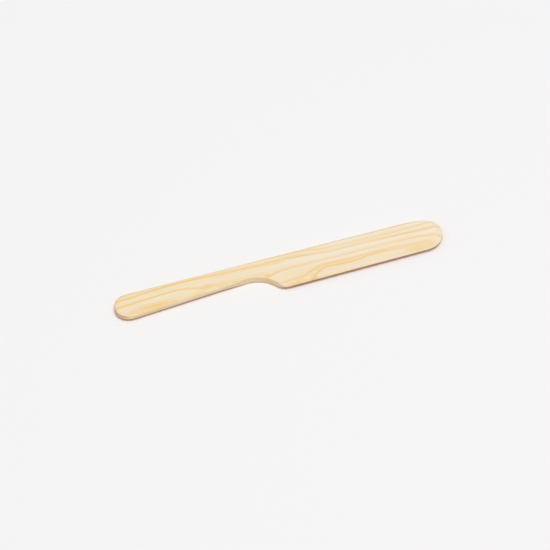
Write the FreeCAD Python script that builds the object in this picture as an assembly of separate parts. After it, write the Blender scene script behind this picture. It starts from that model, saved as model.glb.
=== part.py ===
import FreeCAD, Part
import math
import os

# A knife-shaped bone folder cut from one strip of softwood, in mm.
# +X runs along the strip to the blade's tip, +Y across it to the straight spine, and +Z up.
# The origin is under the middle of the finished tool, on the face that it rests on.

# Strip, sawn square before its corners are rounded
strip_length = 171.65
strip_thickness = 3.6

# Handle, whose lower side runs in from the butt to the neck
butt_width = 16.2
butt_lean = 2.2             # the butt's upper corner stands back from its lower one
butt_upper_radius = 7.2
butt_lower_radius = 7.1
neck_position = 75.3        # from the butt to the corner that the notch rounds off
neck_width = 10.55
notch_radius = 15.2

# Blade
heel_position = 81.7        # from the butt
heel_width = 21.6
heel_radius = 6.3
toe_width = 21.1
toe_radius = 12.6           # the tip's lower corner, which works tight folds
tip_lean = 0.5              # the tip's upper corner stands back from its lower one
tip_drop = 3.6              # from the spine down to the tip's upper corner
tip_radius = 5.9
shoulder_setback = 8.4      # the spine starts to fall this far before the tip
shoulder_radius = 22.0

# Edges
bevel_width = 3.4           # on each face, in from the creasing edge
edge_thickness = 0.4        # left between the two bevels
hand_round = 1.6            # sanded round-over of the handle and the spine
crisp_round = 0.4           # broken arris of the notch and the heel
fade_length = 12.0          # the handle's round-over thins to the notch's over this length

# Limits that keep the rounds inside the strip
side_share = 0.98           # most of a side that the rounds at its two ends take up
wall_share = 0.45           # most of the thickness that one round-over takes up
cutter_margin = 2.0         # how far the bevel cutters stand clear of the strip

# The outline's corners, in order from the butt round by the blade
BUTT_UPPER, BUTT_LOWER, NOTCH, HEEL, TOE, TIP, SHOULDER = range(7)


def plan_corners():
    """Square corners of the outline and their radii, from the butt round by the blade."""
    return [
        (butt_lean, 0.0, butt_upper_radius),
        (0.0, -butt_width, butt_lower_radius),
        (neck_position, -neck_width, notch_radius),
        (heel_position, -heel_width, heel_radius),
        (strip_length, -toe_width, toe_radius),
        (strip_length - tip_lean, -tip_drop, tip_radius),
        (strip_length - shoulder_setback, 0.0, shoulder_radius),
    ]


def corner_tangents(corners):
    """Length of side that each corner's round takes up, shortened where a side is too short."""
    points = [FreeCAD.Vector(x, y, 0) for x, y, radius in corners]
    count = len(points)
    tangents = []
    for i, (x, y, radius) in enumerate(corners):
        before = points[i - 1] - points[i]
        after = points[(i + 1) % count] - points[i]
        tangents.append(radius / math.tan(before.getAngle(after) / 2))
    fits = []
    for i in range(count):
        side = points[i].distanceToPoint(points[(i + 1) % count])
        fits.append(min(1.0, side_share * side / (tangents[i] + tangents[(i + 1) % count])))
    return [tangents[i] * min(fits[i - 1], fits[i]) for i in range(count)]


def corner_arcs(corners):
    """Start, middle, end and centre of the round at each corner."""
    points = [FreeCAD.Vector(x, y, 0) for x, y, radius in corners]
    arcs = []
    for i, tangent in enumerate(corner_tangents(corners)):
        before = (points[i - 1] - points[i]).normalize()
        after = (points[(i + 1) % len(points)] - points[i]).normalize()
        half_angle = before.getAngle(after) / 2
        inward = (before + after).normalize()
        radius = tangent * math.tan(half_angle)
        centre = points[i] + inward * (radius / math.sin(half_angle))
        arcs.append({
            "start": points[i] + before * tangent,
            "middle": centre - inward * radius,
            "end": points[i] + after * tangent,
            "centre": centre,
        })
    return arcs


def plan_edges(arcs):
    """The outline's rounds, each followed by its straight side, with their round-overs.

    Each entry holds an edge and the round-over's radius at the edge's start and at its end.
    """
    hand = min(hand_round, wall_share * strip_thickness)
    crisp = min(crisp_round, wall_share * strip_thickness)
    starts = [arc["start"] for arc in arcs]
    ends = [arc["end"] for arc in arcs]
    towards_butt = (ends[BUTT_LOWER] - starts[NOTCH]).normalize()
    fade_start = starts[NOTCH] + towards_butt * fade_length

    def bend(corner, start_radius, end_radius):
        edge = Part.Arc(starts[corner], arcs[corner]["middle"], ends[corner]).toShape()
        return edge, start_radius, end_radius

    def side(start, end, start_radius, end_radius):
        return Part.LineSegment(start, end).toShape(), start_radius, end_radius

    edges = [
        bend(BUTT_UPPER, hand, hand),
        side(ends[BUTT_UPPER], starts[BUTT_LOWER], hand, hand),
        bend(BUTT_LOWER, hand, hand),
        side(ends[BUTT_LOWER], fade_start, hand, hand),
        side(fade_start, starts[NOTCH], hand, crisp),
    ]
    for corner in range(NOTCH, SHOULDER):
        edges.append(bend(corner, crisp, crisp))
        edges.append(side(ends[corner], starts[corner + 1], crisp, crisp))
    edges.append(bend(SHOULDER, crisp, hand))
    edges.append(side(ends[SHOULDER], starts[BUTT_UPPER], hand, hand))
    return edges


def edge_number(shape, point):
    """Number, from 1, of the edge that passes nearest to a point."""
    vertex = Part.Vertex(point)
    gaps = [edge.distToShape(vertex)[0] for edge in shape.Edges]
    return gaps.index(min(gaps)) + 1


def rounded_plate(edges):
    """The outline at the strip's thickness, both faces rounded over all the way round."""
    outline = Part.Wire([edge for edge, start_radius, end_radius in edges])
    plate = Part.Face(outline).extrude(FreeCAD.Vector(0, 0, strip_thickness))
    rounds = []
    for edge, start_radius, end_radius in edges:
        middle = edge.valueAt((edge.FirstParameter + edge.LastParameter) / 2)
        for height in (0, strip_thickness):
            number = edge_number(plate, middle + FreeCAD.Vector(0, 0, height))
            rounds.append((number, start_radius, end_radius))
    document = FreeCAD.newDocument()
    base = document.addObject("Part::Feature", "plate")
    base.Shape = plate
    fillet = document.addObject("Part::Fillet", "rounded_plate")
    fillet.Base = base
    fillet.Edges = rounds
    document.recompute()
    return fillet.Shape.copy()


def bevel_section(edge_point, inward, reach):
    """Upright face of what the upper bevel takes off, from outside the edge to a reach inside."""
    edge_height = (strip_thickness + edge_thickness) / 2
    slope = (strip_thickness - edge_height) / bevel_width
    top = strip_thickness + (1 + slope) * cutter_margin

    def at(inset, height):
        return edge_point + inward * inset + FreeCAD.Vector(0, 0, height)

    low = at(-cutter_margin, edge_height - slope * cutter_margin)
    high = at(reach, edge_height + slope * reach)
    return Part.Face(Part.makePolygon([low, high, at(reach, top), at(-cutter_margin, top), low]))


def straight_bevel(start, end, inward):
    section = bevel_section(start, inward, bevel_width + cutter_margin)
    return section.extrude(end - start)


def round_bevel(arc):
    """Cutter round a corner. A tight corner's bevel ends at the corner's own centre."""
    out = arc["start"] - arc["centre"]
    reach = min(bevel_width + cutter_margin, out.Length)
    turn = math.degrees(out.getAngle(arc["end"] - arc["centre"]))
    section = bevel_section(arc["start"], out.normalize() * -1, reach)
    return section.revolve(arc["centre"], FreeCAD.Vector(0, 0, 1), turn)


def upper_bevel(arcs):
    """Cutters of the upper bevel: the creasing edge, the toe, the tip and straight on past it.

    It starts behind the heel, and runs out where the shoulder curves away from it.
    """
    toe, tip = arcs[TOE], arcs[TIP]
    edge_in = (toe["centre"] - toe["start"]).normalize()
    edge_along = FreeCAD.Vector(edge_in.y, -edge_in.x, 0)
    behind_heel = toe["start"] + edge_along * (arcs[NOTCH]["middle"] - toe["start"]).dot(edge_along)
    past_in = (tip["centre"] - tip["end"]).normalize()
    past_along = FreeCAD.Vector(past_in.y, -past_in.x, 0)
    past_tip = tip["end"] + past_along * (arcs[SHOULDER]["end"] - tip["end"]).dot(past_along)
    return [
        straight_bevel(behind_heel, toe["start"], edge_in),
        round_bevel(toe),
        straight_bevel(toe["end"], tip["start"], (toe["centre"] - toe["end"]).normalize()),
        round_bevel(tip),
        straight_bevel(tip["end"], past_tip, past_in),
    ]


def mirrored(shape):
    """The same shape on the other face of the strip."""
    return shape.mirror(FreeCAD.Vector(0, 0, strip_thickness / 2), FreeCAD.Vector(0, 0, 1))


def folder_body():
    arcs = corner_arcs(plan_corners())
    body = rounded_plate(plan_edges(arcs))
    cutters = upper_bevel(arcs)
    body = body.cut(cutters + [mirrored(cutter) for cutter in cutters])
    body = body.removeSplitter()
    extent = body.optimalBoundingBox(False)
    body.translate(FreeCAD.Vector(-extent.Center.x, -extent.Center.y, 0))
    return body


os.makedirs("parts", exist_ok=True)
folder_body().exportStep("parts/folder_body.step")
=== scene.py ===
import bpy
from math import ceil, cos, pi, radians, tan
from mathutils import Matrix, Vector


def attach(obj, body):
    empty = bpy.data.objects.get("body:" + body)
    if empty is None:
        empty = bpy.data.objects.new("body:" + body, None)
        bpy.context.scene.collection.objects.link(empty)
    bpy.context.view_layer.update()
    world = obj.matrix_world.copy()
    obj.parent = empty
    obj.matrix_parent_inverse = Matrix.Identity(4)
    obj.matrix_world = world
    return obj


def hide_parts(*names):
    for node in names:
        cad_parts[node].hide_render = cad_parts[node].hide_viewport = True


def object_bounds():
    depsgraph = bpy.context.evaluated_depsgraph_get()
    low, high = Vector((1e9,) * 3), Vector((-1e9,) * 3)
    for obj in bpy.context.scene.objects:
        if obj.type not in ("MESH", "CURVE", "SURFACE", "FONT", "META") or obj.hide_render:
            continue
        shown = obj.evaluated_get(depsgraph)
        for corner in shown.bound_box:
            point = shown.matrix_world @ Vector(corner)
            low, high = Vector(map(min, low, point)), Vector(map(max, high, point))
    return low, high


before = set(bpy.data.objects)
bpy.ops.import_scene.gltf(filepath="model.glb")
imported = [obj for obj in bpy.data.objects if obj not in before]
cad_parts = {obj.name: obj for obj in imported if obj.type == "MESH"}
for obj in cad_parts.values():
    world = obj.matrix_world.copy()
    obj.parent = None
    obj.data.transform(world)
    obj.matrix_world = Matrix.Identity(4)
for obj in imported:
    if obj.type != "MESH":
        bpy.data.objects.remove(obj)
cadLow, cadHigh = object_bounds()
mm = 0.001
mergeGap = 0.01 * mm
upward = Vector((0, 0, 1))


def newPiece(name):
    # one vertex to draw from: a small plane merged at its centre
    bpy.ops.object.select_all(action="DESELECT")
    bpy.ops.mesh.primitive_plane_add(size=mm, location=(0, 0, 0))
    piece = bpy.context.object
    piece.name = piece.data.name = name
    bpy.ops.object.mode_set(mode="EDIT")
    bpy.ops.mesh.select_all(action="SELECT")
    bpy.ops.mesh.merge(type="CENTER")
    return piece


def pickFaces(piece, direction):
    # selects the faces that look in a direction, to about 25 degrees, and stays in edit mode
    bpy.ops.mesh.select_all(action="DESELECT")
    bpy.ops.mesh.select_mode(type="FACE")
    bpy.ops.object.mode_set(mode="OBJECT")
    for face in piece.data.polygons:
        face.select = face.normal.dot(direction) > cos(radians(25))
    bpy.ops.object.mode_set(mode="EDIT")


def applyModifiers(piece):
    for modifier in list(piece.modifiers):
        bpy.ops.object.modifier_apply(modifier=modifier.name)


# One strip of softwood, drawn from the butt's end of its straight spine, with +X to the tip and -Y to the
# creasing edge. Positions, widths and drops are those of the outline's corners before they are rounded.
folder = {
    "length": 171.65 * mm,
    "thickness": 3.6 * mm,
    "buttWidth": 16.2 * mm,
    "buttLean": 2.2 * mm,           # the butt's upper corner stands back from its lower one
    "buttUpperRadius": 7.2 * mm,
    "buttLowerRadius": 7.1 * mm,
    "neckPosition": 75.3 * mm,
    "neckWidth": 10.55 * mm,
    "notchRadius": 15.2 * mm,
    "heelPosition": 81.7 * mm,
    "heelWidth": 21.6 * mm,
    "heelRadius": 6.3 * mm,
    "toeWidth": 21.1 * mm,
    "toeRadius": 12.6 * mm,
    "tipLean": 0.5 * mm,
    "tipDrop": 3.6 * mm,
    "tipRadius": 5.9 * mm,
    "shoulderSetback": 8.4 * mm,
    "shoulderRadius": 22.0 * mm,
    "sideShare": 0.98,              # most of a side that the rounds at its two ends take up
    "bevelWidth": 3.4 * mm,
    "edgeThickness": 0.4 * mm,
    "handRoundWidth": 3.0 * mm,     # the handle's rims are rubbed down further across than down
    "handRoundDepth": 1.4 * mm,
    "crispRound": 0.4 * mm,         # the notch's and the heel's rims
    "roundShare": 0.8,              # most of the height left by the bevel that a round-over takes off
    "fadeLength": 12.0 * mm,        # the handle's round-over thins to the notch's over this length
    "arrisSoftness": 0.5 * mm,
    "roundSteps": 6,
    "weightSpan": 7.2 * mm,         # distance from the rim that a vertex weight of 1 stands for
    "arcStep": 0.4 * mm,
    "sideStep": 1.5 * mm,
    "smoothBelow": 30,              # degrees between faces
}


def outlineArcs(size):
    # the seven rounded corners, in order from the butt round by the blade
    length = size["length"]
    corners = {
        "buttUpper": (size["buttLean"], 0, size["buttUpperRadius"]),
        "buttLower": (0, -size["buttWidth"], size["buttLowerRadius"]),
        "notch": (size["neckPosition"], -size["neckWidth"], size["notchRadius"]),
        "heel": (size["heelPosition"], -size["heelWidth"], size["heelRadius"]),
        "toe": (length, -size["toeWidth"], size["toeRadius"]),
        "tip": (length - size["tipLean"], -size["tipDrop"], size["tipRadius"]),
        "shoulder": (length - size["shoulderSetback"], 0, size["shoulderRadius"]),
    }
    points = [Vector((x, y, 0)) for x, y, radius in corners.values()]
    radii = [radius for x, y, radius in corners.values()]
    count = len(corners)
    toBefore = [(points[i - 1] - points[i]).normalized() for i in range(count)]
    toAfter = [(points[(i + 1) % count] - points[i]).normalized() for i in range(count)]
    turns = [pi - toBefore[i].angle(toAfter[i]) for i in range(count)]
    reaches = [radii[i] * tan(turns[i] / 2) for i in range(count)]
    # two rounds share the side between them: where it is too short, both shrink
    fits = []
    for i in range(count):
        side = (points[(i + 1) % count] - points[i]).length
        fits.append(min(1, size["sideShare"] * side / (reaches[i] + reaches[(i + 1) % count])))
    arcs = {}
    for i, name in enumerate(corners):
        reach = reaches[i] * min(fits[i - 1], fits[i])
        radius = reach / tan(turns[i] / 2)
        inward = (toBefore[i] + toAfter[i]).normalized()
        turnsIn = toBefore[i].cross(toAfter[i]).z > 0      # only the notch
        arcs[name] = {
            "start": points[i] + toBefore[i] * reach,
            "end": points[i] + toAfter[i] * reach,
            "centre": points[i] + inward * (radius / cos(turns[i] / 2)),
            "turn": -turns[i] if turnsIn else turns[i],
            "radius": radius,
        }
    return arcs


def drawOutline(size, arcs):
    # spins the vertex round each corner and draws it on along the side to the next one
    bends = list(arcs.values())
    bpy.ops.transform.translate(value=bends[0]["start"])
    for i, bend in enumerate(bends):
        steps = ceil(abs(bend["turn"]) * bend["radius"] / size["arcStep"])
        bpy.ops.mesh.spin(steps=steps, angle=-bend["turn"], center=bend["centre"], axis=(0, 0, 1))
        side = bends[(i + 1) % len(bends)]["start"] - bend["end"]
        sideSteps = ceil(side.length / size["sideStep"])
        for step in range(sideSteps):
            bpy.ops.mesh.extrude_vertices_move(TRANSFORM_OT_translate={"value": side / sideSteps})
    bpy.ops.mesh.select_all(action="SELECT")
    bpy.ops.mesh.remove_doubles(threshold=mergeGap)


def raisePlate(size, piece):
    # half of the plate, from the middle of its thickness up, because both faces are alike;
    # its top is inset in rings, and each ring keeps its distance from the rim as a weight
    bpy.ops.mesh.edge_face_add()
    bpy.ops.mesh.extrude_region_move(TRANSFORM_OT_translate={"value": upward * size["thickness"] / 2})
    bpy.ops.mesh.select_all(action="SELECT")
    bpy.ops.mesh.normals_make_consistent(inside=False)
    pickFaces(piece, upward)
    angles = [radians(90 * (step + 1) / size["roundSteps"]) for step in range(size["roundSteps"])]
    insets = [size["handRoundWidth"] * (1 - cos(angle)) for angle in angles]
    insets += [size["bevelWidth"], size["bevelWidth"] + size["arrisSoftness"]]
    rimDistance = piece.vertex_groups.new(name="rimDistance")
    before = 0
    for inset in insets:
        bpy.ops.mesh.inset(thickness=inset - before, depth=0, use_even_offset=True)
        bpy.context.scene.tool_settings.vertex_group_weight = inset / size["weightSpan"]
        bpy.ops.object.vertex_group_assign()
        before = inset
    return rimDistance


def insideBevel(arcs, at):
    # how far a point lies inside the line that the blade is bevelled along: the creasing edge, the toe,
    # the end, the tip and the straight line on past the tip
    toe, tip = arcs["toe"], arcs["tip"]
    inside = []
    for corner, near in ((toe, toe["start"]), (toe, toe["end"]), (tip, tip["end"])):
        outward = (near - corner["centre"]).normalized()
        inside.append((near - at).dot(outward))
    for corner in (toe, tip):
        out = at - corner["centre"]
        first = corner["start"] - corner["centre"]
        last = corner["end"] - corner["centre"]
        if first.cross(out).z > 0 and out.cross(last).z > 0:
            inside.append(corner["radius"] - out.length)
    return min(inside)


def handShare(size, arcs, at):
    # 1 where the rim has the hand's round-over, 0 where it is crisp, and between them where it fades
    notch, tip, shoulder = arcs["notch"], arcs["tip"], arcs["shoulder"]
    atSpine = at.y > shoulder["end"].y - size["tipDrop"] and at.x < shoulder["end"].x
    if at.x < notch["start"].x or atSpine:
        if at.y > -size["neckWidth"] / 2:
            return 1.0
        return min(1.0, max(0.0, (notch["start"].x - at.x) / size["fadeLength"]))
    if at.x > shoulder["end"].x and at.y > tip["end"].y:
        return max(0.0, 1 - (at.x - shoulder["end"].x) / (shoulder["start"].x - shoulder["end"].x))
    return 0.0


def workTop(size, arcs, piece, rimDistance):
    # how far each ring comes down: the bevel first, then the round-over of what height it leaves
    top = size["thickness"] / 2
    slope = (top - size["edgeThickness"] / 2) / size["bevelWidth"]
    soft = size["arrisSoftness"] / 4
    down = piece.vertex_groups.new(name="down")
    bpy.ops.object.mode_set(mode="OBJECT")
    for vertex in piece.data.vertices:
        if vertex.co.z < top / 2:
            continue
        at = Vector((vertex.co.x, vertex.co.y, 0))
        short = size["bevelWidth"] - insideBevel(arcs, at)
        bevel = slope * (short + (short ** 2 + soft ** 2) ** 0.5) / 2
        weights = [group.weight for group in vertex.groups if group.group == rimDistance.index]
        fromRim = sum(weights) * size["weightSpan"]
        hand = handShare(size, arcs, at)
        width = size["crispRound"] + hand * (size["handRoundWidth"] - size["crispRound"])
        depth = size["crispRound"] + hand * (size["handRoundDepth"] - size["crispRound"])
        depth = min(depth, size["roundShare"] * (top - bevel))
        across = max(0.0, 1 - fromRim / width)
        rounding = depth * (1 - (1 - across ** 2) ** 0.5)
        down.add([vertex.index], (bevel + rounding) / top, "REPLACE")
    lowering = piece.modifiers.new("lowering", "DISPLACE")
    lowering.direction = "Z"
    lowering.vertex_group = down.name
    lowering.mid_level = 0
    lowering.strength = -top
    applyModifiers(piece)


def mirrorPlate(size, piece):
    # opens the middle, mirrors the other half on and stands the folder on its face
    bpy.ops.object.mode_set(mode="EDIT")
    pickFaces(piece, -upward)
    bpy.ops.mesh.delete(type="FACE")
    bpy.ops.object.mode_set(mode="OBJECT")
    mirror = piece.modifiers.new("otherFace", "MIRROR")
    mirror.use_axis = (False, False, True)
    mirror.merge_threshold = mergeGap
    applyModifiers(piece)
    low, high = piece.bound_box[0], piece.bound_box[6]
    toMiddle = (-(low[0] + high[0]) / 2, -(low[1] + high[1]) / 2, size["thickness"] / 2)
    bpy.ops.object.mode_set(mode="EDIT")
    bpy.ops.mesh.select_all(action="SELECT")
    bpy.ops.mesh.normals_make_consistent(inside=False)
    bpy.ops.transform.translate(value=toMiddle)
    bpy.ops.object.mode_set(mode="OBJECT")


def makeFolder(size):
    arcs = outlineArcs(size)
    body = newPiece("bone_folder")
    drawOutline(size, arcs)
    rimDistance = raisePlate(size, body)
    workTop(size, arcs, body, rimDistance)
    mirrorPlate(size, body)
    bpy.ops.object.shade_smooth_by_angle(angle=radians(size["smoothBelow"]))
    return body


folderBody = makeFolder(folder)
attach(folderBody, "root")
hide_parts("folder_body")
print("folder:", len(folderBody.data.polygons), "faces")


def linear(hexColour):
    # sRGB hex to the linear colour that the shader takes
    channels = [int(hexColour[i:i + 2], 16) / 255 for i in (0, 2, 4)]
    return [c / 12.92 if c <= 0.04045 else ((c + 0.055) / 1.055) ** 2.4 for c in channels] + [1]


def addNode(owner, kind, settings=None, inputs=None, goesTo=None):
    # an input is a plain value or another node's output, and goesTo gives the inputs that an output feeds
    node = owner.node_tree.nodes.new(kind)
    for name, value in (settings or {}).items():
        setattr(node, name, value)
    for name, value in (inputs or {}).items():
        if isinstance(value, bpy.types.NodeSocket):
            owner.node_tree.links.new(value, node.inputs[name])
        else:
            node.inputs[name].default_value = value
    for name, target in (goesTo or {}).items():
        owner.node_tree.links.new(node.outputs[name], target)
    return node


# Bare pine, flat-sawn and fine-sanded, with no oil or varnish: pale straw early wood and amber late wood,
# whose rings are soft on one side and sharp on the other. It is matt, with fibres along the tool.
# Distances are in mm: along is +X from the middle, and across runs to the creasing edge from a line
# in the blade's middle. Of two places between which a thing fades in, the first is where it starts.
pine = {
    "earlyWood": "F5EAD8",
    "warmWood": "F4E4C7",           # early wood in the handle and towards the creasing edge
    "warmAlong": (35, -25),
    "warmAcross": (-6, 10),
    "warmAcrossShare": 0.7,
    "lateWood": "F1C468",
    "roughness": (0.66, 0.8),       # of the smoothest and the roughest fibre
    "specular": 0.2,
    "bumpStrength": 0.3,
    "bumpDepth": 0.03,
    "middleFromSpine": 10.47,
    "reach": 87.0,                  # half of the length that the rings are drawn over
    "acrossRange": (-27.0, 17.0),
    "wander": 0.3,                  # how far a ring strays from its route
    # the rings lean, so that they lie further across on the lower face:
    # the height below which they lean, and how far they are off at the bottom
    "handleLean": (2.8, 14.4),
    "bladeLean": (1.8, 5.0),
    "leanChange": (5.0, -40.0),     # along, from the blade's lean to the handle's
    # size across the grain, what a step along it counts for, and the part of the noise's range in use
    "noises": {
        "wander": {"size": 9.0, "along": 0.35, "detail": 3, "roughness": 0.5, "range": (0.25, 0.75)},
        "fibres": {"size": 1.1, "along": 0.03, "detail": 4, "roughness": 0.6, "range": (0.44, 0.75)},
        "mottle": {"size": 14.0, "along": 0.35, "detail": 5, "roughness": 0.6, "range": (0.4, 0.7)},
    },
    "noiseDark": {"fibres": 0.27, "mottle": 0.1},
    # tints of the wood's own colour, and painted shade, lie where all of their limits hold: a measure, where
    # it is none and where it is full
    "tintsAndPaintedShade": [
        {"colour": "D8A468", "share": 0.2, "limits": [("endOn", 0.3, 1)]},      # end grain
        # painted shade: a brown tint on the blade's thin edge and its lower bevel, standing in for the dark
        # brown shade in the crevice under the edge
        {"colour": "D2843A", "share": 1, "limits": [
            ("up", 0.4, 1.4), ("up", 1.95, 1.8), ("along", -6, 0), ("fromMiddle", 9, 6)]},
        # painted shade: a brown tint on the handle's low, downward-facing rim, standing in for the dark
        # shade line where it meets the paper
        {"colour": "D07C30", "share": 0.9, "limits": [
            ("up", 1.5, 0.9), ("facingUp", -0.1, -0.5), ("facingUp", -0.97, -0.8), ("along", 0, -6)]},
        # the butt's upper arris, on the creasing edge's side
        {"colour": "D07C30", "share": 0.75, "limits": [
            ("up", 2.1, 2.35), ("up", 2.85, 2.65), ("facingAlong", -0.15, -0.5), ("facingAcross", 0.2, -0.1),
            ("along", -60, -70)]},
    ],
    # a ring darkens over its width up to its route and pales again past it, over a share of that width;
    # between the two ends its shades are (place, darkness)
    "paleShare": 0.45,
    "ringShades": [(0.42, 0.3), (0.69, 1.0)],
    # each ring's route and darkness as (along, across) and (along, darkness)
    "rings": [
        {"width": 2.6, "route": [(-87, -24), (87, -24)], "dark": [(-87, 0.5), (87, 0.5)]},
        {"width": 2.2, "route": [(-87, -20), (0, -19), (87, -21)], "dark": [(-87, 0.6), (87, 0.6)]},
        {"width": 2.0, "route": [(-87, -16), (0, -15.5), (87, -14)], "dark": [(-87, 0.6), (87, 0.6)]},
        {"width": 1.7, "route": [
            (-87, -14), (-40, -13.5), (0, -11.5), (22, -9.0), (30, -9.25), (40, -9.1), (48, -8.75),
            (56, -8.9), (65, -9.0), (75, -9.0), (87, -9.4)
        ], "dark": [(-87, 0.5), (87, 0.5)]},
        {"width": 1.9, "route": [
            (-87, -8.6), (-77, -9.3), (-70, -10.4), (-30, -10.8), (-8, -9.5), (0, -8.9), (10, -8.25),
            (16, -7.5), (22, -6.5), (28, -6.2), (40, -5.9), (50, -5.6), (70, -5.5), (87, -5.8)
        ], "dark": [(-87, 0.6), (20, 0.6), (30, 0.5), (87, 0.55)]},
        {"width": 2.4, "route": [
            (-87, -5.8), (-80, -6.1), (-75, -6.4), (-70, -7.1), (-60, -7.6), (-50, -7.75), (-40, -7.3),
            (-30, -6.8), (-20, -6.5), (-10, -5.9), (0, -5.9), (10, -5.25), (20, -3.9), (26, -3.5),
            (35, -3.5), (45, -3.25), (55, -2.9), (65, -2.4), (72, -1.9), (80, -1.7), (87, -1.9)
        ], "dark": [(-87, 0.55), (0, 0.6), (60, 0.5), (87, 0.55)]},
        {"width": 2.0, "route": [
            (-87, -1.9), (-80, -2.0), (-70, -2.6), (-60, -3.25), (-55, -3.4), (-50, -2.9), (-46, -2.0),
            (-42, -1.2), (-37, -1.0), (-31, -0.6), (-24, 0), (-18, 2), (-13, 4.2), (-9, 2.9), (-6.5, 2.0),
            (-3, 1.3), (5, 0.8), (20, 0.8), (40, 1.4), (60, 1.4), (70, 2.0), (76, 3.2), (81, 4.6), (87, 6.5)
        ], "dark": [
            (-87, 0.6), (-50, 0.65), (-42, 0.6), (-36, 0.4), (-28, 0.25), (-20, 0.1), (-12, 0.3), (-9, 0.6),
            (0, 0.45), (87, 0.5)
        ]},
        {"width": 2.2, "route": [
            (-87, 4.0), (-78, 3.3), (-66, 4.4), (-58, 4.2), (-53, 3.5), (-48, 2.5), (-44, 1.8), (-40, 1.0),
            (-34, 2), (-28, 6), (-20, 10), (-8, 9), (0, 8.3), (7, 8.2), (11, 7.1), (14, 5.8), (18, 4.75),
            (25, 4.75), (35, 5.2), (45, 4.9), (55, 4.9), (60, 5.5), (65, 6.1), (70, 6.6), (74, 7.1),
            (78, 9.6), (80, 12), (87, 15)
        ], "dark": [
            (-87, 0.2), (-60, 0.3), (-44, 0.35), (-38, 0.1), (-12, 0.1), (0, 0.4), (14, 0.5), (55, 0.4),
            (78, 0.4), (87, 0.3)
        ]},
        {"width": 2.3, "route": [
            (-87, 14), (0, 14), (8, 12.2), (10.5, 10.9), (12, 10.1), (13.5, 9.0), (15, 8.0), (18, 6.8),
            (21, 6.2), (26, 6.6), (31, 6.9), (38, 6.7), (43, 6.1), (50, 6.0), (56, 6.3), (60, 6.9),
            (64, 7.5), (67, 8.3), (69.5, 9.6), (72, 12), (87, 15)
        ], "dark": [(-87, 0.6), (15, 0.6), (40, 0.68), (52, 0.5), (62, 0.35), (87, 0.25)]},
    ],
    # where a ring runs nearly level with the face, it shows as a broad patch
    "patches": [
        {"at": (-67, 2.7), "spread": (17, 3.2), "dark": 0.55},      # handle, near the butt
        {"at": (-77, 3.3), "spread": (5, 1.6), "dark": 0.5},
        {"at": (-57, 2.5), "spread": (5, 1.0), "dark": 0.45},
        {"at": (-39, -1.0), "spread": (7, 2.8), "dark": 0.45},      # handle, where two rings meet
        {"at": (-31, -0.5), "spread": (13, 2.8), "dark": 0.3},
        {"at": (-21, 0.3), "spread": (14, 1.6), "dark": 0.3},
        {"at": (-50, -9.0), "spread": (26, 1.5), "dark": 0.25},
        {"at": (-76, -9.4), "spread": (5, 0.8), "dark": 0.8},
        {"at": (-3, -4.3), "spread": (7, 0.7), "dark": 0.35},
        {"at": (-14, 0.4), "spread": (8, 1.7), "dark": 0.3},        # at the notch
        {"at": (-9.4, 2.2), "spread": (3.4, 2.6), "dark": 0.5},
        {"at": (3, 10.2), "spread": (9, 1.4), "dark": 0.35},        # blade
        {"at": (11.9, 10.0), "spread": (3.0, 2.6), "dark": 0.45},
        {"at": (30, 5.8), "spread": (24, 1.4), "dark": 0.25},
        {"at": (68, 8.6), "spread": (10, 3.2), "dark": 0.35},
        {"at": (74, 8.2), "spread": (6, 2.8), "dark": 0.3},
    ],
    "patchFade": (1, 0.1),          # in shares of the patch's spread
}


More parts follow.
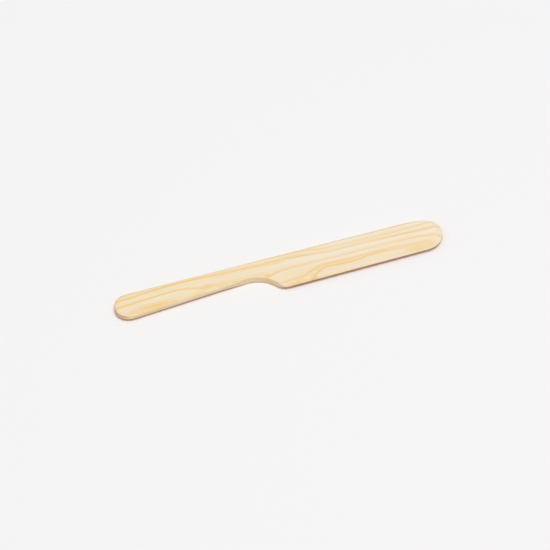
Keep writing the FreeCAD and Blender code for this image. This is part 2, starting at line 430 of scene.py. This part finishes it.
def makePine(size):
    material = bpy.data.materials.new("bare sanded pine")
    material.use_nodes = True
    shader = material.node_tree.nodes["Principled BSDF"]
    nearest, furthest = size["acrossRange"]
    middle = cadHigh[1] / mm - size["middleFromSpine"]

    texture = addNode(material, "ShaderNodeTexCoord")
    place = addNode(material, "ShaderNodeVectorMath", {"operation": "SCALE"}, {
        0: texture.outputs["Object"], "Scale": 1 / mm}).outputs[0]
    parts = addNode(material, "ShaderNodeSeparateXYZ", None, {0: place})
    facing = addNode(material, "ShaderNodeSeparateXYZ", None, {0: texture.outputs["Normal"]})
    endOn = addNode(material, "ShaderNodeMath", {"operation": "ABSOLUTE"}, {0: facing.outputs["X"]})
    along, up = parts.outputs["X"], parts.outputs["Z"]
    measures = {
        "along": along,
        "fromMiddle": parts.outputs["Y"],
        "up": up,
        "endOn": endOn.outputs[0],
        "facingAlong": facing.outputs["X"],
        "facingAcross": facing.outputs["Y"],
        "facingUp": facing.outputs["Z"],
    }
    noises = {}
    for name, noise in size["noises"].items():
        drawn = addNode(material, "ShaderNodeVectorMath", {"operation": "MULTIPLY"}, {
            0: place, 1: (noise["along"], 1, 1)})
        noises[name] = addNode(material, "ShaderNodeTexNoise", None, {
            "Vector": drawn.outputs[0], "Scale": 1 / noise["size"], "Detail": noise["detail"],
            "Roughness": noise["roughness"]}).outputs["Fac"]

    # the line that across is measured from, with a slow wander of every ring
    least, most = size["noises"]["wander"]["range"]
    wander = addNode(material, "ShaderNodeMapRange", None, {
        "Value": noises["wander"], "From Min": least, "From Max": most,
        "To Min": middle - size["wander"], "To Max": middle + size["wander"]})

    # the rings' lean, steep in the handle and slight in the blade
    leans = []
    for height, offAtBottom in (size["bladeLean"], size["handleLean"]):
        leans.append(addNode(material, "ShaderNodeMapRange", None, {
            "Value": up, "From Min": height, "From Max": 0, "To Min": 0, "To Max": offAtBottom}).outputs[0])
    inHandle = addNode(material, "ShaderNodeMapRange", None, {
        "Value": along, "From Min": size["leanChange"][0], "From Max": size["leanChange"][1]})
    lean = addNode(material, "ShaderNodeMix", None, {0: inHandle.outputs[0], 2: leans[0], 3: leans[1]})
    upright = addNode(material, "ShaderNodeMath", {"operation": "SUBTRACT"}, {
        0: wander.outputs[0], 1: parts.outputs["Y"]})
    across = addNode(material, "ShaderNodeMath", {"operation": "SUBTRACT"}, {
        0: upright.outputs[0], 1: lean.outputs[0]}).outputs[0]

    # each ring has a curve for its route along the tool and one for how dark it is there
    alongShare = addNode(material, "ShaderNodeMapRange", None, {
        "Value": along, "From Min": -size["reach"], "From Max": size["reach"]}).outputs[0]
    acrossShare = addNode(material, "ShaderNodeMapRange", None, {
        "Value": across, "From Min": nearest, "From Max": furthest}).outputs[0]
    marks = []
    for ring in size["rings"]:
        curves = []
        for points, start, span in ((ring["route"], nearest, furthest - nearest), (ring["dark"], 0, 1)):
            curve = addNode(material, "ShaderNodeFloatCurve", None, {"Value": alongShare})
            line = curve.mapping.curves[0]
            shares = [((x / size["reach"] + 1) / 2, (value - start) / span) for x, value in points]
            line.points[0].location = shares[0]
            line.points[1].location = shares[-1]
            for share in shares[1:-1]:
                line.points.new(*share)
            curve.mapping.update()
            curves.append(curve.outputs[0])
        past = addNode(material, "ShaderNodeMath", {"operation": "SUBTRACT"}, {0: acrossShare, 1: curves[0]})
        width = ring["width"] / (furthest - nearest)
        profile = addNode(material, "ShaderNodeMapRange", None, {
            "Value": past.outputs[0], "From Min": -width, "From Max": width * size["paleShare"]})
        band = addNode(material, "ShaderNodeValToRGB", None, {"Fac": profile.outputs[0]})
        band.color_ramp.interpolation = "EASE"
        for end in band.color_ramp.elements:
            end.color = (0, 0, 0, 1)
        for position, shade in size["ringShades"]:
            band.color_ramp.elements.new(position).color = (shade, shade, shade, 1)
        marks.append(addNode(material, "ShaderNodeMath", {"operation": "MULTIPLY"}, {
            0: band.outputs[0], 1: curves[1]}).outputs[0])

    flat = addNode(material, "ShaderNodeCombineXYZ", None, {0: along, 1: across}).outputs[0]
    rim, core = size["patchFade"]
    for patch in size["patches"]:
        away = addNode(material, "ShaderNodeVectorMath", {"operation": "SUBTRACT"}, {
            0: flat, 1: (*patch["at"], 0)})
        scaled = addNode(material, "ShaderNodeVectorMath", {"operation": "DIVIDE"}, {
            0: away.outputs[0], 1: (*patch["spread"], 1)})
        far = addNode(material, "ShaderNodeVectorMath", {"operation": "LENGTH"}, {0: scaled.outputs[0]})
        marks.append(addNode(material, "ShaderNodeMapRange", {"interpolation_type": "SMOOTHSTEP"}, {
            "Value": far.outputs["Value"], "From Min": rim, "From Max": core, "To Min": 0,
            "To Max": patch["dark"]}).outputs[0])
    darkness = marks[0]
    for mark in marks[1:]:
        darkness = addNode(material, "ShaderNodeMath", {"operation": "MAXIMUM"}, {
            0: darkness, 1: mark}).outputs[0]

    # fine fibres and a faint mottle add a little late wood everywhere
    for name, dark in size["noiseDark"].items():
        least, most = size["noises"][name]["range"]
        added = addNode(material, "ShaderNodeMapRange", None, {
            "Value": noises[name], "From Min": least, "From Max": most, "To Min": 0, "To Max": dark})
        darkness = addNode(material, "ShaderNodeMath", {"operation": "ADD", "use_clamp": True}, {
            0: darkness, 1: added.outputs[0]}).outputs[0]

    warmths = []
    for value, (none, full), share in (
            (along, size["warmAlong"], 1), (across, size["warmAcross"], size["warmAcrossShare"])):
        warmths.append(addNode(material, "ShaderNodeMapRange", {"interpolation_type": "SMOOTHSTEP"}, {
            "Value": value, "From Min": none, "From Max": full, "To Min": 0, "To Max": share}).outputs[0])
    warmth = addNode(material, "ShaderNodeMath", {"operation": "ADD", "use_clamp": True}, {
        0: warmths[0], 1: warmths[1]})
    early = addNode(material, "ShaderNodeMix", {"data_type": "RGBA"}, {
        0: warmth.outputs[0], 6: linear(size["earlyWood"]), 7: linear(size["warmWood"])})
    wood = addNode(material, "ShaderNodeMix", {"data_type": "RGBA"}, {
        0: darkness, 6: early.outputs[2], 7: linear(size["lateWood"])}).outputs[2]

    # each tint is mixed over the wood, the painted shade on the blade's edge and the handle's low rim among
    # them
    for tint in size["tintsAndPaintedShade"]:
        cover = tint["share"]
        for measure, none, full in tint["limits"]:
            within = addNode(material, "ShaderNodeMapRange", None, {
                "Value": measures[measure], "From Min": none, "From Max": full})
            cover = addNode(material, "ShaderNodeMath", {"operation": "MULTIPLY"}, {
                0: cover, 1: within.outputs[0]}).outputs[0]
        wood = addNode(material, "ShaderNodeMix", {"data_type": "RGBA"}, {
            0: cover, 6: wood, 7: linear(tint["colour"])}).outputs[2]
    material.node_tree.links.new(wood, shader.inputs["Base Color"])

    smoothest, roughest = size["roughness"]
    addNode(material, "ShaderNodeMapRange", None, {
        "Value": noises["fibres"], "To Min": smoothest, "To Max": roughest}, {0: shader.inputs["Roughness"]})
    addNode(material, "ShaderNodeBump", None, {
        "Height": noises["fibres"], "Strength": size["bumpStrength"], "Distance": size["bumpDepth"] * mm
    }, {0: shader.inputs["Normal"]})
    shader.inputs["Specular IOR Level"].default_value = size["specular"]
    return material


folderBody.data.materials.append(makePine(pine))
print("materials: pine, with", len(pine["rings"]), "rings")

# A sheet of white paper far wider than the view, matt
paper = {
    "colour": "F7F6F6",
    "roughness": 0.95,
    "specular": 0.1,
    "side": 6,
}


def makePaper(size):
    material = bpy.data.materials.new("white paper sheet")
    material.use_nodes = True
    shader = material.node_tree.nodes["Principled BSDF"]
    shader.inputs["Base Color"].default_value = linear(size["colour"])
    shader.inputs["Roughness"].default_value = size["roughness"]
    shader.inputs["Specular IOR Level"].default_value = size["specular"]
    return material


bpy.ops.object.select_all(action="DESELECT")
bpy.ops.mesh.primitive_plane_add(size=paper["side"], location=(0, 0, 0))
floor = bpy.context.object
floor.name = floor.data.name = "floor"
floor.data.materials.append(makePaper(paper))

# One large soft box almost overhead, and about as much light again from all round
studio = {
    "cameraAt": (-0.1636, -0.4320, 0.4611),
    "cameraTarget": (-0.00458, 0.00081, 0),
    "lens": 87,
    "sensor": 36,
    "softBoxAt": (0.25, -0.3, 2.97),
    "softBoxSide": 1.6,
    "softBoxPower": 49.5,
    "roomLight": 0.487,
}

bpy.ops.object.camera_add(location=studio["cameraAt"])
camera = bpy.context.object
towardsTarget = Vector(studio["cameraTarget"]) - camera.location
camera.rotation_euler = towardsTarget.to_track_quat("-Z", "Y").to_euler()
camera.data.lens = studio["lens"]
camera.data.sensor_width = studio["sensor"]
bpy.context.scene.camera = camera

bpy.ops.object.light_add(type="AREA", location=studio["softBoxAt"])
softBox = bpy.context.object
softBox.name = "softBox"
softBox.rotation_euler = (-softBox.location).to_track_quat("-Z", "Y").to_euler()
softBox.data.energy = studio["softBoxPower"]
softBox.data.size = studio["softBoxSide"]

# the room is plain white to look at, past the paper's far edge, and dimmer as a light
room = bpy.data.worlds.new("room")
room.use_nodes = True
rays = addNode(room, "ShaderNodeLightPath")
seen = addNode(room, "ShaderNodeMath", {"operation": "ADD", "use_clamp": True}, {
    0: rays.outputs["Is Camera Ray"], 1: rays.outputs["Is Glossy Ray"]})
background = room.node_tree.nodes["Background"]
background.inputs["Color"].default_value = (1, 1, 1, 1)
addNode(room, "ShaderNodeMix", None, {0: seen.outputs[0], 2: studio["roomLight"], 3: 1},
        {0: background.inputs["Strength"]})
bpy.context.scene.world = room
bpy.context.scene.view_settings.view_transform = "Standard"
print("stage: floor, camera and soft box")
